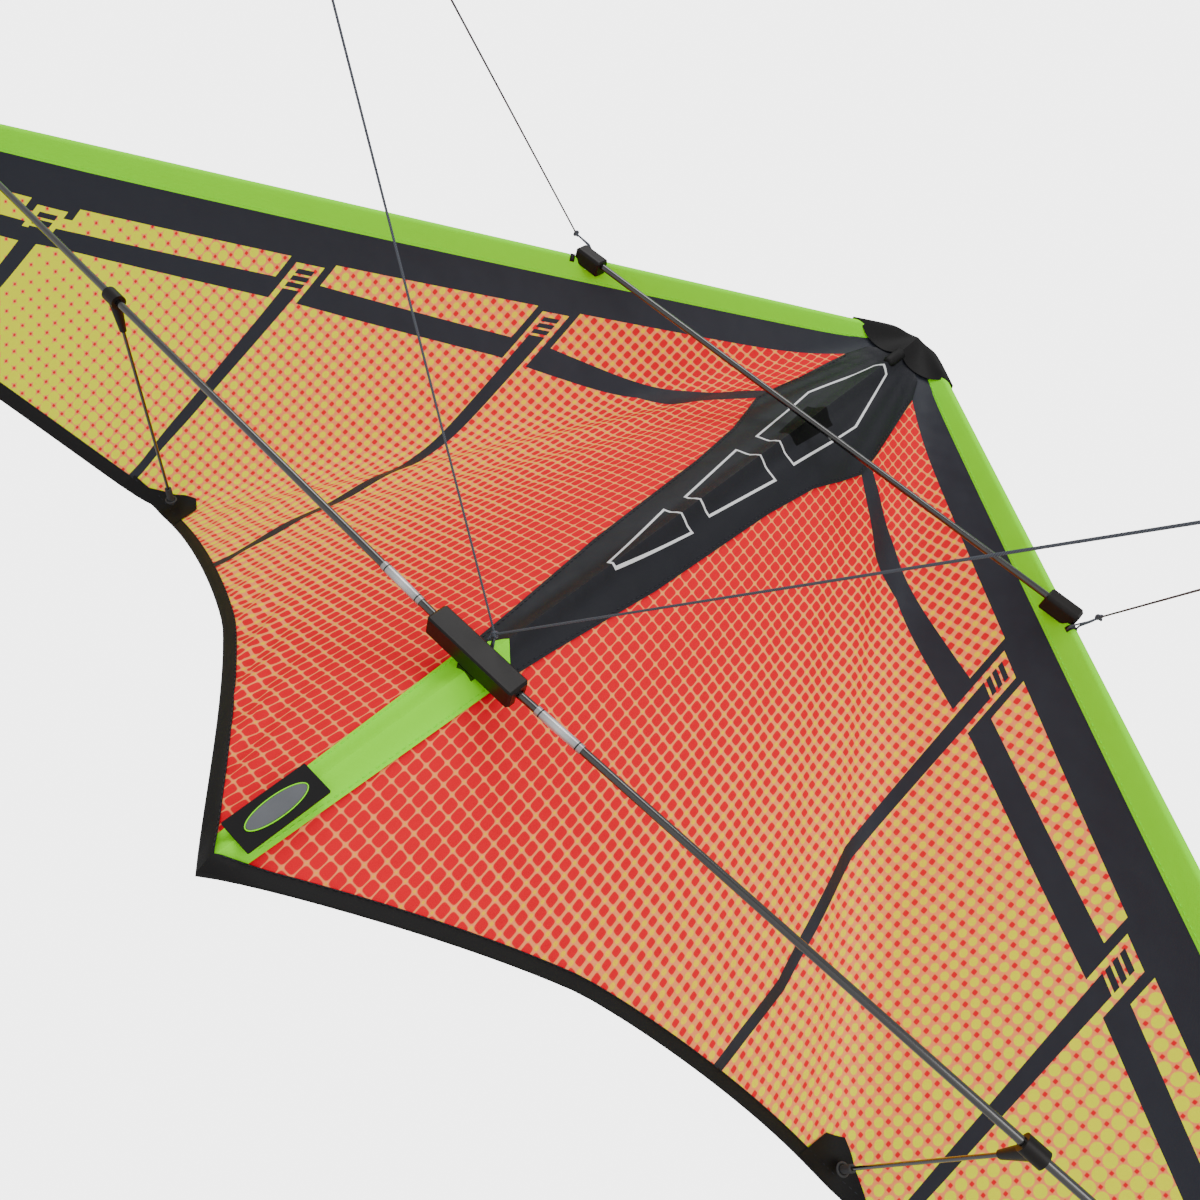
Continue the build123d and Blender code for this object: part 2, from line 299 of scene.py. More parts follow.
def cloth_piece(name, side, outline, layers, spacing, surface, materials, lift=0.0):
    """A cut of cloth laid on a surface y(x, z)."""
    flat, faces, slots = cut_cloth(outline, layers, spacing)
    points = [(x, surface(x, z) + lift, z) for x, z in flat]
    places = [flat_place(x, z) for x, z in flat]
    points, faces = mirrored(points, faces, side)
    return new_object(name, points, faces, slots, materials, places)


def grid_faces(rows, columns, closed=False, keep=None):
    """Quads of a grid of points stored row by row."""
    faces = []
    for r in range(rows - 1):
        for c in range(columns if closed else columns - 1):
            if keep and not keep(r, c):
                continue
            d = (c + 1) % columns
            faces.append((r * columns + c, r * columns + d, (r + 1) * columns + d, (r + 1) * columns + c))
    return faces


def tube(name, path, radius, material, sides):
    """A round tube with closed ends along a list of points."""
    points = []
    across = None
    for i, p in enumerate(path):
        run = (path[min(i + 1, len(path) - 1)] - path[max(i - 1, 0)]).normalized()
        across = across or run.orthogonal().normalized()
        across = (across - run * across.dot(run)).normalized()
        other = run.cross(across)
        for k in range(sides):
            a = 2 * pi * k / sides
            points.append(p + (across * cos(a) + other * sin(a)) * radius)
    faces = grid_faces(len(path), sides, closed=True)
    faces.append(tuple(reversed(range(sides))))
    faces.append(tuple(range(len(points) - sides, len(points))))
    return new_object(name, points, faces, materials=[material])


# ---------------------------------------------------------------- materials


def linear(red, green, blue):
    """A screen colour, 0 to 255, as the renderer's linear colour."""
    values = []
    for v in (red, green, blue):
        v /= 255
        values.append(v / 12.92 if v <= 0.04045 else ((v + 0.055) / 1.055) ** 2.4)
    return (*values, 1)


class Shader:
    """A node material with a Principled shader, and short ways to add nodes."""

    def __init__(self, name, **settings):
        self.material = bpy.data.materials.new(name)
        self.material.use_nodes = True
        self.tree = self.material.node_tree
        self.main = self.tree.nodes["Principled BSDF"]
        for socket, value in settings.items():
            self.main.inputs[socket.replace("_", " ")].default_value = value

    def node(self, kind, inputs=(), **properties):
        item = self.tree.nodes.new(kind)
        for key, value in properties.items():
            setattr(item, key, value)
        for socket, value in dict(inputs).items():
            self.join(value, item.inputs[socket])
        return item

    def join(self, value, socket):
        if isinstance(value, bpy.types.NodeSocket):
            self.tree.links.new(value, socket)
        else:
            socket.default_value = value

    def maths(self, operation, *values):
        item = self.node("ShaderNodeMath", operation=operation)
        for value, socket in zip(values, item.inputs):
            self.join(value, socket)
        return item.outputs[0]

    def mix(self, share, first, second):
        item = self.node("ShaderNodeMix", data_type="RGBA")
        self.join(share, item.inputs[0])
        self.join(first, item.inputs[6])
        self.join(second, item.inputs[7])
        return item.outputs[2]

    def ramp(self, value, stops):
        item = self.node("ShaderNodeValToRGB", {"Fac": value})
        ramp = item.color_ramp
        while len(ramp.elements) < len(stops):
            ramp.elements.new(1)
        for element, (place, colour) in zip(ramp.elements, stops):
            element.position = place
            element.color = colour if isinstance(colour, tuple) else (colour, colour, colour, 1)
        return item.outputs[0]

    def noise(self, scale, detail, vector=None):
        item = self.node("ShaderNodeTexNoise", {"Scale": scale, "Detail": detail})
        if vector:
            self.join(vector, item.inputs["Vector"])
        return item.outputs["Fac"]

    def colour(self, value):
        self.join(value, self.main.inputs["Base Color"])

    def bump(self, height, strength, distance):
        inputs = {"Height": height, "Strength": strength, "Distance": distance}
        last = self.main.inputs["Normal"].links
        if last:
            inputs["Normal"] = last[0].from_socket
        item = self.node("ShaderNodeBump", inputs)
        self.join(item.outputs[0], self.main.inputs["Normal"])

    def object_place(self):
        return self.node("ShaderNodeTexCoord").outputs["Object"]


def add_weave(shader):
    """Plain-weave bump from two crossed sets of threads, on the flat cloth's coordinates."""
    thread = 0.00045
    place = shader.node("ShaderNodeUVMap", uv_map="flat").outputs[0]
    parts = shader.node("ShaderNodeSeparateXYZ", {"Vector": place})
    waves = []
    for axis in (0, 1):
        turns = shader.maths("MULTIPLY", parts.outputs[axis], 2 * pi / (2 * thread))
        waves.append(shader.maths("SINE", turns))
    shader.bump(shader.maths("MULTIPLY", *waves), 0.25, 0.0001)


def add_ripstop(shader, place_parts):
    """Raised reinforcing threads every few millimetres."""
    spacing = 0.005
    lines = []
    for axis in (0, 1):
        turns = shader.maths("MULTIPLY", place_parts.outputs[axis], 1 / spacing)
        step = shader.maths("ABSOLUTE", shader.maths("SUBTRACT", shader.maths("FRACT", turns), 0.5))
        lines.append(shader.maths("LESS_THAN", step, 0.05))
    shader.bump(shader.maths("MAXIMUM", *lines), 0.15, 0.0001)


def print_material():
    """Halftone print: red squares on a square lattice and yellow dots between them, on a peach ground.
    Outward the squares shrink and the dots grow."""
    shader = Shader("sail_print", Roughness=0.6, Specular_IOR_Level=0.05)
    place = shader.node("ShaderNodeUVMap", uv_map="flat").outputs[0]
    parts = shader.node("ShaderNodeSeparateXYZ", {"Vector": place})
    cells = []
    directions = ((cos(PRINT_TURN), sin(PRINT_TURN)), (-sin(PRINT_TURN), cos(PRINT_TURN)))
    for pitch, turn in zip(PRINT_PITCH, directions):
        shares = [shader.maths("MULTIPLY", parts.outputs[axis], turn[axis] / (pitch * MM)) for axis in (0, 1)]
        turns = shader.maths("ADD", *shares)
        cells.append(shader.maths("ABSOLUTE", shader.maths("SUBTRACT", shader.maths("FRACT", turns), 0.5)))
    powers = [shader.maths("POWER", cell, 4.0) for cell in cells]
    square = shader.maths("POWER", shader.maths("ADD", *powers), 0.25)
    corners = [shader.maths("POWER", shader.maths("SUBTRACT", 0.5, cell), 2.0) for cell in cells]
    dot = shader.maths("SQRT", shader.maths("ADD", *corners))
    reach = shader.maths("MULTIPLY", parts.outputs[0], 1 / PRINT_REACH)
    square_size = shader.ramp(reach, SQUARE_SIZES)
    dot_size = shader.ramp(reach, DOT_SIZES)
    masks = []
    for distance, size in ((square, square_size), (dot, dot_size)):
        low = shader.maths("SUBTRACT", size, PRINT_SOFTNESS)
        share = shader.maths("DIVIDE", shader.maths("SUBTRACT", distance, low), 2 * PRINT_SOFTNESS)
        item = shader.node("ShaderNodeMath", operation="SUBTRACT", use_clamp=True)
        item.inputs[0].default_value = 1
        shader.join(share, item.inputs[1])
        masks.append(item.outputs[0])
    yellows = [(0.0, linear(255, 176, 0)), (0.26, linear(252, 214, 0)), (0.45, linear(232, 240, 0))]
    yellow = shader.ramp(reach, yellows)
    ground = shader.mix(masks[1], linear(255, 150, 92), yellow)
    shader.colour(shader.mix(masks[0], ground, linear(228, 0, 34)))
    add_weave(shader)
    add_ripstop(shader, parts)
    return shader.material


def cloth_material(name, colour, roughness, variation, specular, creases=0.2):
    """Plain woven cloth with uneven dye, a weave and soft creases."""
    shader = Shader(name, Roughness=roughness, Specular_IOR_Level=specular)
    dark = tuple(c * (1 - variation) for c in colour[:3]) + (1,)
    place = shader.object_place()
    shader.colour(shader.mix(shader.noise(35, 4, place), dark, colour))
    shader.bump(shader.noise(26, 2, place), creases, 0.006)
    add_weave(shader)
    return shader.material


def moulded_material(name, colour, roughness):
    """Moulded plastic or rubber with a fine grain and uneven colour."""
    shader = Shader(name, Roughness=roughness, Specular_IOR_Level=0.22)
    place = shader.object_place()
    light = tuple(min(1, c * 1.6 + 0.004) for c in colour[:3]) + (1,)
    shader.colour(shader.mix(shader.noise(60, 4, place), colour, light))
    shader.bump(shader.noise(1800, 2, place), 0.2, 0.0001)
    return shader.material


def carbon_material():
    """Wrapped carbon tube: dark, glossy, with faint wrap lines."""
    shader = Shader("carbon_rod", Roughness=0.2, Specular_IOR_Level=0.8, Coat_Weight=0.6, Coat_Roughness=0.1)
    place = shader.object_place()
    wrap = shader.node("ShaderNodeTexWave", {"Vector": place, "Scale": 120.0, "Distortion": 1.5})
    shader.colour(shader.mix(wrap.outputs["Fac"], linear(9, 8, 8), linear(13, 12, 12)))
    shader.bump(wrap.outputs["Fac"], 0.05, 0.00002)
    return shader.material


def label_material():
    """Foil sleeve on the rod, with one plain dark band. The grey foil is painted lighter in the middle and
    darker towards both ends: a painted reflection.
    """
    shader = Shader("label_foil", Roughness=0.3, Metallic=0.5)
    place = shader.node("ShaderNodeTexCoord").outputs["Generated"]
    along = shader.node("ShaderNodeSeparateXYZ", {"Vector": place}).outputs[0]
    from_middle = shader.maths("ABSOLUTE", shader.maths("SUBTRACT", along, 0.5))
    # Painted reflection: the foil's grey is lighter in the middle and darker towards the ends
    foil_with_painted_sheen = shader.ramp(from_middle, [(0.0, linear(205, 206, 208)), (0.5, linear(150, 151, 153))])
    band = shader.maths("COMPARE", from_middle, 0.4, 0.014)
    shader.colour(shader.mix(band, foil_with_painted_sheen, linear(50, 50, 50)))
    return shader.material


def line_material():
    """Braided bridle line, dark grey with lighter strands."""
    shader = Shader("braided_line", Roughness=0.7, Specular_IOR_Level=0.3)
    place = shader.object_place()
    wave = shader.node("ShaderNodeTexWave", {"Vector": place, "Scale": 450.0})
    shader.colour(shader.mix(wave.outputs["Fac"], linear(48, 51, 58), linear(92, 96, 106)))
    shader.bump(wave.outputs["Fac"], 0.4, 0.0002)
    return shader.material


# ---------------------------------------------------------------- stage


def stage():
    """White surroundings, a pale floor and two soft lights."""
    world = bpy.data.worlds.new("studio")
    world.use_nodes = True
    tree = world.node_tree
    background = tree.nodes["Background"]
    background.inputs["Color"].default_value = (1, 1, 1, 1)
    seen = tree.nodes.new("ShaderNodeLightPath")
    strength = tree.nodes.new("ShaderNodeMapRange")
    strength.inputs["To Min"].default_value = 0.72
    strength.inputs["To Max"].default_value = 4.5
    tree.links.new(seen.outputs["Is Camera Ray"], strength.inputs["Value"])
    tree.links.new(strength.outputs["Result"], background.inputs["Strength"])
    bpy.context.scene.world = world
    corners = [(x * FLOOR_HALF, y * FLOOR_HALF, FLOOR_Z) for x, y in ((-1, -1), (1, -1), (1, 1), (-1, 1))]
    floor = new_object("floor", corners, [(0, 1, 2, 3)])
    pale = Shader("pale_floor", Roughness=0.9)
    pale.colour(pale.mix(pale.noise(3, 2), linear(236, 236, 236), linear(244, 244, 244)))
    floor.data.materials.append(pale.material)
    # Places and sizes in metres, power in watts. The wide one draws a bright line along the rods.
    for name, place, width, height, power in (
        ("key", (1.5, -1.9, 0.0), 1.4, 1.4, 24),
        ("wide", (-0.8, -1.6, 1.2), 1.8, 0.9, 25),
    ):
        light = bpy.data.lights.new(name, "AREA")
        light.shape = "RECTANGLE"
        light.size = width
        light.size_y = height
        light.energy = power
        item = bpy.data.objects.new(name, light)
        bpy.context.collection.objects.link(item)
        item.location = place
        item.rotation_euler = (Vector((0, 0, 0.15)) - Vector(place)).to_track_quat("-Z", "Y").to_euler()


# ---------------------------------------------------------------- bridle


def straight_line(name, start, end, diameter, material):
    """A taut cord: one open spline of three points."""
    curve = bpy.data.curves.new(name, "CURVE")
    curve.dimensions = "3D"
    spline = curve.splines.new("NURBS")
    spline.points.add(2)
    for point, share in zip(spline.points, (0, 0.5, 1)):
        point.co = (*(start.lerp(end, share) * MM), 1)
    spline.order_u = 3
    spline.use_endpoint_u = True
    curve.bevel_depth = diameter / 2 * MM
    curve.bevel_resolution = 3
    curve.materials.append(material)
    item = bpy.data.objects.new(name, curve)
    bpy.context.collection.objects.link(item)
    return item


def side_point(point, side):
    """The point itself on the right side, and its mirror image on the left."""
    return Vector((point.x * side, point.y, point.z))


def repaint(node, material):
    """A new material for a CAD piece that stays."""
    materials = frame["nodes"][node].data.materials
    materials.clear()
    materials.append(material)


def bridle(material):
    """The four taut lines between the CAD model's knots. They stop short of the middle of each knot."""
    repaint("bridle_knot", material)
    for label, side in SIDES:
        wing = f"{label}_wing"
        tow = side_point(TOW_POINT, side)
        knot = side_point(OUTHAUL_KNOT, side)
        tow_run = (tow - BRIDLE_KNOT).normalized()
        out_run = (tow - knot).normalized()
        for node in ("outhaul_knot", "tow_knot"):
            repaint(f"{node}_{label}", material)
        legs = {
            "inhaul": (BRIDLE_KNOT + tow_run * 2.3, tow - tow_run * 3.4, ["tow_knot"]),
            "outhaul": (knot + out_run * 1.7, tow - out_run * 3.4, ["tow_knot", "outhaul_knot"]),
        }
        for leg, (start, end, knots) in legs.items():
            cord = straight_line(f"{leg}_line_{label}", start, end, LINE_D, material)
            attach(cord, wing)
            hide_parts(f"bridle_{leg}_{label}")


# ---------------------------------------------------------------- sail


def panel_outline():
    """The cut of one sail half, from the spine's line to inside the sleeve and the binding."""
    xs = [0, 12, 25, 40, 60, 80, 100, 125, 150, 180, 210, 240, 270, 300, 330, 350, 370]
    xs += [400, 440, 490, 540, 590, 640, 690, 740, 774]
    low = [(x, trailing_z(x) + 2) for x in xs]
    top = 7.2 / sin(HALF_ANGLE)
    return low + [(778, edge_z(778) - top), (0, edge_z(0) - top)]


def band_shape(x_start, x_end, depth_start, depth_end):
    """A strip beside the leading edge, between two depths from its axis."""
    near = depth_start / sin(HALF_ANGLE)
    far = depth_end / sin(HALF_ANGLE)
    return [
        (x_start, edge_z(x_start) - near),
        (x_end, edge_z(x_end) - near),
        (x_end, edge_z(x_end) - far),
        (x_start, edge_z(x_start) - far),
    ]


def inner_band():
    """The printed band that runs from the keel patch towards the tip."""
    high = INNER_BAND_HIGH + [(745, -116)]
    low = INNER_BAND_LOW + [(735, -128)]
    return high + list(reversed(low))


def bar_layers(centre, drift):
    """One bar of the print: dark zone between two windows, light slot, three stripes and the bar.
    Its foot drifts outward, on the slack part of the cloth."""
    half_zone, half_slot, half_bar, half_foot = 14, 8.8, 5.2, 2.9
    stripe, stripe_step = 3.6, 5.2
    slope = 1 / tan(HALF_ANGLE)

    def cut(x0, x1, high, low):
        """A piece of the bar between two lines parallel to the leading edge."""
        return [
            (centre + x0, high - x0 * slope),
            (centre + x1, high - x1 * slope),
            (centre + x1, low - x1 * slope),
            (centre + x0, low - x0 * slope),
        ]

    # The bar hangs from the leading edge: its pieces start at fixed depths below the edge's axis
    axis_z = edge_z(centre)
    band = between(centre, INNER_BAND_LOW)
    layers = [
        (cut(-half_zone, half_zone, axis_z - 22, band + 3), 1),
        (cut(-half_slot, half_slot, axis_z - 37, band - 8), 0),
    ]
    for i in range(3):
        top = axis_z - 41 - stripe_step * i
        layers.append((cut(-half_bar, half_bar, top, top - stripe), 1))
    bar_top = axis_z - 56.8
    low = trailing_z(centre) - 4
    foot = centre + drift
    turns = [(centre, 165), (centre + 0.6 * drift, 105), (foot, 60)] if drift else []
    turns.append((foot, low))
    widths = [half_bar + (half_foot - half_bar) * (bar_top - z) / (bar_top - low) for _, z in turns]
    right = [(x + width, z) for (x, z), width in zip(turns, widths)]
    left = [(x - width, z) for (x, z), width in zip(turns, widths)]
    top = [(centre - half_bar, bar_top + half_bar * slope), (centre + half_bar, bar_top - half_bar * slope)]
    layers.append((top + right + list(reversed(left)), 1))
    return layers


def sail(printed, charcoal):
    """The two sail halves."""
    outline = panel_outline()
    for label, side in SIDES:
        layers = [(band_shape(0, 777, 7.3, 26), 1), (inner_band(), 1)]
        for x, drift in zip(BAR_XS, (19 if side > 0 else 6, 0, 0)):
            layers += bar_layers(x, drift)
        surface = cloth_y if side > 0 else slack_cloth_y
        piece = cloth_piece(f"sail_cloth_{label}", side, outline, layers, 7, surface, [printed, charcoal])
        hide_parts(f"sail_{label}")
        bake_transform(piece)


def on_surface(path, surface, lift):
    """Points every few millimetres along a path of (x, z) places, just in front of a surface."""
    points = []
    for (x0, z0), (x1, z1) in zip(path, path[1:]):
        count = ceil(hypot(x1 - x0, z1 - z0) / 5)
        for i in range(count):
            x, z = x0 + (x1 - x0) * i / count, z0 + (z1 - z0) * i / count
            points.append(Vector((x, surface(x, z) - lift, z)))
    return points


# One stitch: distance of its four rings along the seam from its middle, and their half thickness
STITCH = ((-1.4, 0.12), (-0.7, 0.32), (0.7, 0.32), (1.4, 0.12))
STITCH_SPACING = 4.4


def stitches(name, path, side, material, body):
    """A row of stitches along a path of points."""
    points = []
    faces = []
    passed = 0
    target = 2
    for start, end in zip(path, path[1:]):
        length = (end - start).length
        if length < 0.01:
            continue
        run = (end - start) / length
        across = run.cross(Vector((0, 1, 0))).normalized()
        while target < passed + length:
            centre = start + run * (target - passed)
            first = len(points)
            for reach, size in STITCH:
                middle = centre + run * reach
                out = Vector((0, size, 0))
                points += [middle - out, middle + across * size, middle + out, middle - across * size]
            faces += [tuple(first + i for i in f) for f in grid_faces(4, 4, closed=True)]
            faces += [(first + 3, first + 2, first + 1, first), tuple(first + 12 + i for i in range(4))]
            target += STITCH_SPACING
        passed += length
    points, faces = mirrored([tuple(p) for p in points], faces, side)
    piece = new_object(name, points, faces, materials=[material])
    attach(piece, body)


def sleeve_section(x):
    """The sleeve's cross-section as (inward distance, y) pairs from the edge's axis: it starts at the front
    of the seam, goes round the rod and ends at the back of the seam."""
    wrap_r = 3.3
    arc_count = 12
    flap = (0.12, 0.35, 0.65)
    seam_z = edge_z(x) - SEAM_DEPTH / sin(HALF_ANGLE)
    rise = sail_y(x, seam_z) - LEADING_EDGE_Y
    toward = atan2(rise, SEAM_DEPTH)
    open_angle = acos(wrap_r / hypot(rise, SEAM_DEPTH))
    first, last = toward - open_angle, toward + open_angle - 2 * pi
    arc = [first + (last - first) * i / arc_count for i in range(arc_count + 1)]
    ring = [(wrap_r * cos(a), wrap_r * sin(a)) for a in arc]
    front_seam, back_seam = (SEAM_DEPTH, rise - 0.5), (SEAM_DEPTH, rise + 0.5)
    section = [front_seam]
    section += [tuple(f + (r - f) * t for f, r in zip(front_seam, ring[0])) for t in flap]
    section += ring
    section += [tuple(f + (r - f) * t for f, r in zip(back_seam, ring[-1])) for t in reversed(flap)]
    section.append(back_seam)
    return section


def sleeve(lime, moulded):
    """The leading edge's sleeve: fabric wrapped round the rod and closed in a seam over the sail."""
    # How deep the cut-out for a connector reaches, by distance along the edge from the crossing
    cut = [(-13.7, 0.5), (-10.6, 0.5), (-10.4, 4.2), (-1, 4.2), (5, 0.5), (13.7, 0.5)]
    along = sin(HALF_ANGLE)
    crossings = (UPPER_CROSS_X, LOWER_CROSS_X)
    reaches = (-CONNECTOR_HALF, -10.5, -5, -1, 2, 5, 10, CONNECTOR_HALF)
    ends = [centre + reach * along for centre in crossings for reach in reaches]
    stations = [x for x in range(30, 777, 8) if all(abs(x - end) > 2 for end in ends)]
    stations = sorted(stations + ends + [780])
    points = []
    seam = []
    depths = []
    for x in stations:
        section = sleeve_section(x)
        axis = edge_point(x)
        section_points = [axis + INWARD * d + Vector((0, y, 0)) for d, y in section]
        points += [tuple(p) for p in section_points]
        seam.append(section_points[1] - Vector((0, 0.25, 0)))
        depths.append([d for d, _ in section])
    columns = len(section)

    def keep(row, column):
        middle = (stations[row] + stations[row + 1]) / 2
        depth = (depths[row][column] + depths[row][column + 1]) / 2
        shift = min(((middle - centre) / along for centre in crossings), key=abs)
        return abs(shift) > CONNECTOR_HALF or depth > between(shift, cut)

    for label, side in SIDES:
        faces = [tuple(reversed(f)) for f in grid_faces(len(stations), columns, keep=keep)]
        places = [flat_place(p[0], p[2]) for p in points]
        side_points, side_faces = mirrored(points, faces, side)
        piece = new_object(f"sleeve_{label}", side_points, side_faces, None, [lime], places)
        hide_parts(f"leading_edge_sleeve_{label}")
        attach(piece, f"{label}_wing")
        stitches(f"sleeve_stitches_{label}", seam, side, lime, f"{label}_wing")
        for crossing in crossings:
            collars(label, side, crossing, moulded)


def collars(label, side, crossing, moulded):
    """The two stop rings beside a connector."""
    along = sin(HALF_ANGLE)
    half_length = 1.9 * along
    for end, end_name in ((-1, "in"), (1, "out")):
        middle = crossing + end * 11.2 * along
        path = [side_point(edge_point(x), side) for x in (middle - half_length, middle + half_length)]
        collar = tube(f"collar_{label}_{int(crossing)}_{end_name}", path, 3.9, moulded, 20)
        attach(collar, f"{label}_wing")


def ribbon(path, offsets):
    """Rows of points beside a path in the XZ plane, each row at (inward distance, shift along Y)."""
    rows = []
    for i, (x, z) in enumerate(path):
        before = path[i - 1] if i else (-path[1][0], path[1][1])
        after = path[min(i + 1, len(path) - 1)]
        first = Vector((x - before[0], z - before[1])).normalized()
        second = Vector((after[0] - x, after[1] - z)).normalized() if after != (x, z) else first
        normals = [Vector((-run.y, run.x)) for run in (first, second)]
        mitre = (normals[0] + normals[1]).normalized()
        mitre /= max(mitre.dot(normals[0]), 0.4)
        for inward, shift in offsets:
            px, pz = x + mitre.x * inward, z + mitre.y * inward
            # In front it passes over the spine's end
            pocket = 9 * exp(-((px / 11) ** 2)) * (inward / BINDING) ** 0.5 if shift < 0 else 0
            rows.append((px, cloth_y(abs(px), pz) + shift - pocket, pz))
    return rows


def binding(tape, thread):
    """Folded tape over the trailing edge, from the tail corner round the wing tip."""
    xs = [0, 8, 16, 25, 35, 46, 58, *range(70, 340, 11)]
    xs += [343, 350, 356, 362, 368, 376, *range(390, 770, 14), 776]
    path = [(x, trailing_z(x)) for x in xs]
    path += [(779, -148), (782, -135), (784.5, -115), (785.2, -106)]
    fold = [(BINDING, -0.35), (BINDING - 0.4, -0.75), (5, -0.8), (1, -0.75), (0, -0.3), (0, 0.3)]
    fold += [(1, 0.75), (5, 0.8), (BINDING - 0.4, 0.75), (BINDING, 0.35)]
    points = ribbon(path, fold)
    faces = grid_faces(len(path), len(fold))
    places = [flat_place(p[0], p[2]) for p in points]
    for label, side in SIDES:
        side_points, side_faces = mirrored(points, faces, side)
        piece = new_object(f"binding_{label}", side_points, side_faces, None, [tape], places)
        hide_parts(f"trailing_binding_{label}")
        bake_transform(piece)
        row = [Vector(p) for p in ribbon(path, [(8, -1.0)])][1:]
        stitches(f"binding_stitches_{label}", row, side, thread, f"{label}_wing")


# ---------------------------------------------------------------- patches


def outline_layers(shapes):
    """Printed outlines: each shape is a silver form with a smaller black one in it."""
    layers = []
    for outer, inner in shapes:
        layers += [(outer, 1), (inner, 0)]
    return layers


def keel_shapes():
    """Three plain tapering outlines across the spine, as halves."""
    line_w = 1.7
    shapes = []
    for low, high, narrow, wide in ((122, 196, 4, 14), (216, 292, 12, 20)):
        outer = [(0, low), (narrow, low), (wide, high), (0, high)]
        inner = [
            (0, low + line_w),
            (narrow - line_w, low + line_w),
            (wide - line_w * 1.2, high - line_w),
            (0, high - line_w),
        ]
        shapes.append((outer, inner))
    outer = [(0, 316), (19, 316), (25, 402), (7, 476), (0, 478)]
    inner = [(0, 316 + line_w), (19 - line_w, 316 + line_w), (25 - line_w, 401)]
    inner += [(6, 475 - line_w), (0, 476.5 - line_w)]
    shapes.append((outer, inner))
    return shapes


def patches(cloth, silver, lime, gloss, thread):
    """The black patch over the spine, with its print and a darker spot where the upper spreader crosses, and
    the lime one below the centre fitting.
    """
    keel = [(0, 509), (14, 508), (27, 500), (35, 483), (50, 405), (54, 376), (40, 320), (34, 265), (28, 140)]
    keel += [(19, 50), (16, 12), (15, 2), (8, 2), (8, 9), (0, 9)]
    # A darker spot on the keel cloth where the upper spreader crosses the spine
    crossing_spot = [(0, 330), (9, 332), (13, 380), (0, 384)]
    tail = [(0, 28.5), (15.5, 17), (16.5, 5), (16, 0), (13, -100), (11, -162), (0, -171)]
    tail += [(0, -7.2), (6.1, -7.2), (6.1, 7.2), (0, 7.2)]
    keel_seam = [(33.5, 478), (48, 404), (51.8, 376), (38, 321), (31.8, 265), (25.8, 140)]
    keel_seam += [(17, 50), (14.2, 14)]
    tail_seam = [(13.9, 2), (11, -100), (8.7, -155)]
    for label, side in SIDES:
        wing = f"{label}_wing"
        layers = outline_layers(keel_shapes()) + [(crossing_spot, 2)]
        piece = cloth_piece(f"keel_cloth_{label}", side, keel, layers, 4, keel_y, [cloth, silver, gloss])
        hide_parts(f"keel_patch_{label}")
        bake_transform(piece)
        piece = cloth_piece(f"tail_cloth_{label}", side, tail, [], 4, patch_y, [lime], lift=-0.7)
        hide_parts(f"tail_patch_{label}")
        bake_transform(piece)
        stitches(f"keel_stitches_{label}", on_surface(keel_seam, keel_y, 0.3), side, thread, wing)
        stitches(f"tail_stitches_{label}", on_surface(tail_seam, patch_y, 1.0), side, lime, wing)


def nose_cover(black):
    """Bow-shaped cover folded over the nose, pointed at its two ends."""
    outer = [(0, 534), (10, 532.5), (20, 529.5), (30, 525), (40, 518.5), (48, 512), (53, 508)]
    inner = [(0, 504), (9, 503), (17, 504), (25, 505.5), (35, 506), (44, 506.5), (53, 507.4)]
    front_count, back_count = 8, 4
    points = []
    for (ox, oz), (ix, iz) in zip(outer, inner):
        column = []
        for i in range(front_count):
            t = i / (front_count - 1)
            x, z = ix + (ox - ix) * t, iz + (oz - iz) * t
            depth = inward_depth(x, z)
            y = sail_y(x, z) - 2.0 - 5.2 * exp(-((x / 6) ** 2)) - 4.2 * exp(-((depth / 4.5) ** 2))
            column.append((x, y, z))
        front = column[-1][1]
        column += [(ox + 0.6, front + 3, oz + 1.2), (ox + 0.6, 2, oz + 1.2), (ox, 5, oz)]
        for i in range(back_count):
            t = 1 - (i + 1) / (back_count + 1)
            x, z = ix + (ox - ix) * t, iz + (oz - iz) * t
            column.append((x, max(sail_y(x, z) + 2.0, 4.2 * t), z))
        points += column
    faces = grid_faces(len(outer), len(points) // len(outer))
    places = [flat_place(p[0], p[2]) for p in points]
    for label, side in SIDES:
        side_points, side_faces = mirrored(points, faces, side)
        piece = new_object(f"nose_cloth_{label}", side_points, side_faces, None, [black], places)
        piece.modifiers.new("smooth", "SUBSURF").render_levels = 2
        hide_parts(f"nose_cover_{label}")
        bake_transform(piece)


# ---------------------------------------------------------------- fittings


def around(count):
    """Angles once round a circle, with the first one again at the end."""
    return [2 * pi * i / count for i in range(count + 1)]


def knot_wrap(name, centre, size, material, body):
    """Turns of line drawn tight round a knot's core."""
    path = []
    for t in around(48):
        turn = Vector((sin(t) + 2 * sin(2 * t), cos(t) - 2 * cos(2 * t), -1.4 * sin(3 * t)))
        path.append(centre + turn * size / 3)
    piece = tube(name, path, 0.95, material, 8)
    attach(piece, body)


def strand(name, path, material, body):
    """A short end of line, as thick as the bridle."""
    piece = tube(name, [Vector(p) for p in path], LINE_D / 2, material, 8)
    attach(piece, body)


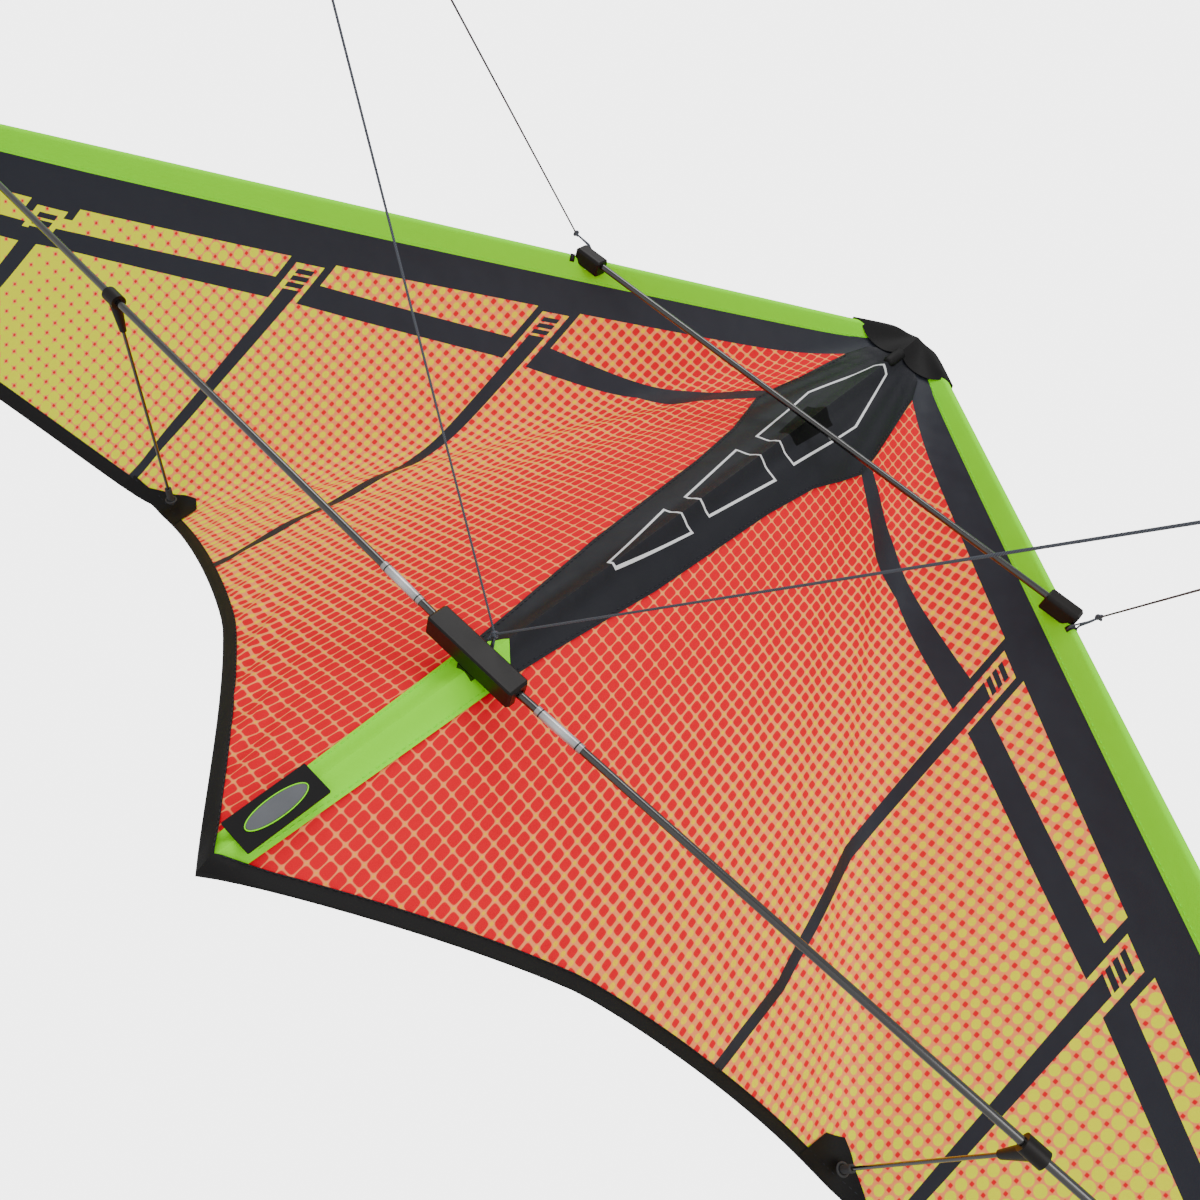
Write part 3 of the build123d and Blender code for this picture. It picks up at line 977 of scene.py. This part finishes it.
def line_ends(line):
    """The knots' turns, the loops round the leading edge and the loop on the centre fitting."""
    knot_wrap("hub_knot_turns", BRIDLE_KNOT, 1.9, line, "spine_frame")
    for label, side in SIDES:
        wing = f"{label}_wing"
        loop = [(1.2, -21, 12), (2.6, -15, 10.6), (3.4, -9, 9.4), (3.6, -4, 8.1)]
        strand(f"hub_loop_{label}", [(x * side, y, z) for x, y, z in loop], line, "spine_frame")
        knot_wrap(f"outhaul_knot_turns_{label}", side_point(OUTHAUL_KNOT, side), 2.1, line, wing)
        knot_wrap(f"tow_knot_turns_{label}", side_point(TOW_POINT, side), 2.6, line, wing)
        along = side_point(TO_TIP, side)
        place = 11.5 * side  # on the tip side of the right connector and the nose side of the left one
        rod_point = side_point(edge_point(UPPER_CROSS_X), side) + along * place
        across = Vector((0, 1, 0))
        other = along.cross(across)
        loop_r = 3.3
        ring = [rod_point + (across * cos(a) + other * sin(a)) * loop_r for a in around(24)]
        strand(f"edge_loop_{label}", ring, line, wing)
        knot = side_point(OUTHAUL_KNOT, side)
        for i, lift in enumerate((-1, 1)):
            out = other * lift * loop_r
            turns = [rod_point + out * 1.1 - across * 5, (rod_point + out + knot * 2) / 3]
            if side < 0:  # these pass over the connector
                height = edge_z(UPPER_CROSS_X) + 7.6 + 0.7 * lift
                turns = [Vector((-232, -5, height)), Vector((-241, -12, height))]
            strand(f"edge_strand_{label}_{i + 1}", [rod_point + out, *turns, knot], line, wing)


def standoff_pockets(black, boot):
    """Reinforcement on the trailing edge at the notch, and the ring round the stand-off's foot."""
    outline = [(x, trailing_z(x) + 1) for x in (320, 332, 346, 360, 374, 388)]
    outline += [(386, 12), (372, 15), (357, 25), (338, 36), (327, 29)]
    start, end = Vector((367, -9.8, 12.3)), Vector((346, 181, 19))
    run = (end - start).normalized()
    across = run.orthogonal().normalized()
    other = run.cross(across)
    foot = end - run * 3.5
    ring = [foot + (across * cos(a) + other * sin(a)) * 3.7 for a in around(24)]
    for label, side in SIDES:
        piece = cloth_piece(f"standoff_cloth_{label}", side, outline, [], 4, cloth_y, [black], lift=-1.3)
        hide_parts(f"standoff_patch_{label}")
        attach(piece, f"{label}_wing")
        piece = tube(f"standoff_ring_{label}", [side_point(p, side) for p in ring], 0.9, boot, 8)
        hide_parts(f"standoff_socket_{label}")
        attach(piece, f"{label}_wing")


def badge_rim(lime):
    """The lime edge of the oval badge on the tail flap."""
    ring = [Vector((5.9 * cos(a), -6.5, -133.5 + 18.1 * sin(a))) for a in around(48)]
    piece = tube("badge_rim", ring, 0.35, lime, 8)
    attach(piece, "tail_flap")


def spine_pocket(black):
    """The spine's end in its fabric pocket, which comes out from under the nose cover. It is rounded at the
    end and flat at the back, where it lies on the sail."""
    axis_y = -1.2
    back_y = 1.2
    shares = {483: 0.55, 485: 0.82}
    path = [Vector((0, axis_y, z)) for z in (483, 485, 488, 492, 498, 506)]
    piece = tube("spine_pocket", path, 5.2, black, 24)
    for vertex in piece.data.vertices:
        share = shares.get(round(vertex.co.z / MM), 1)
        vertex.co.x *= share
        vertex.co.y = min((vertex.co.y - axis_y * MM) * share + axis_y * MM, back_y * MM)
    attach(piece, "spine_frame")


def paint_nodes(carbon, moulded, label_metal, boot, black, badge):
    """New materials for the CAD pieces that stay."""
    finishes = {
        "carbon_rod": carbon,
        "moulded_black": moulded,
        "label_silver": label_metal,
        "boot_rubber": boot,
        "black_fabric": black,
        "badge_grey": badge,
    }
    slots = {part["node"]: part["material_slot"] for part in frame["record"]["subparts"]}
    for node in frame["nodes"]:
        finish = finishes.get(slots[node])
        if finish:
            repaint(node, finish)


camera()
line = line_material()
bridle(line)

printed = print_material()
charcoal = cloth_material("charcoal_print", linear(40, 42, 51), 0.5, 0.15, 0.2, 0.5)
keel_black = cloth_material("keel_cloth", linear(26, 27, 34), 0.5, 0.3, 0.22, 0.5)
silver = cloth_material("silver_print", linear(225, 226, 228), 0.5, 0.1, 0.2)
lime = cloth_material("lime_cloth", linear(140, 250, 0), 0.6, 0.05, 0.06)
tape = cloth_material("binding_tape", linear(20, 19, 20), 0.6, 0.3, 0.2)
black = cloth_material("black_cloth", linear(14, 13, 14), 0.6, 0.3, 0.2)
# Darker cloth for the spot under the upper spreader's crossing
gloss = cloth_material("dark_crossing_spot", linear(5, 5, 6), 0.45, 0.3, 0.08)
moulded = moulded_material("moulded_black", linear(14, 11, 10), 0.4)
carbon = carbon_material()
label_metal = label_material()
boot = moulded_material("boot_rubber", linear(48, 48, 50), 0.7)
badge = moulded_material("badge_grey", linear(78, 80, 84), 0.6)

stage()
paint_nodes(carbon, moulded, label_metal, boot, black, badge)
sail(printed, charcoal)
sleeve(lime, moulded)
binding(tape, charcoal)
patches(keel_black, silver, lime, gloss, charcoal)
nose_cover(black)
line_ends(line)
badge_rim(lime)
standoff_pockets(black, boot)
spine_pocket(black)
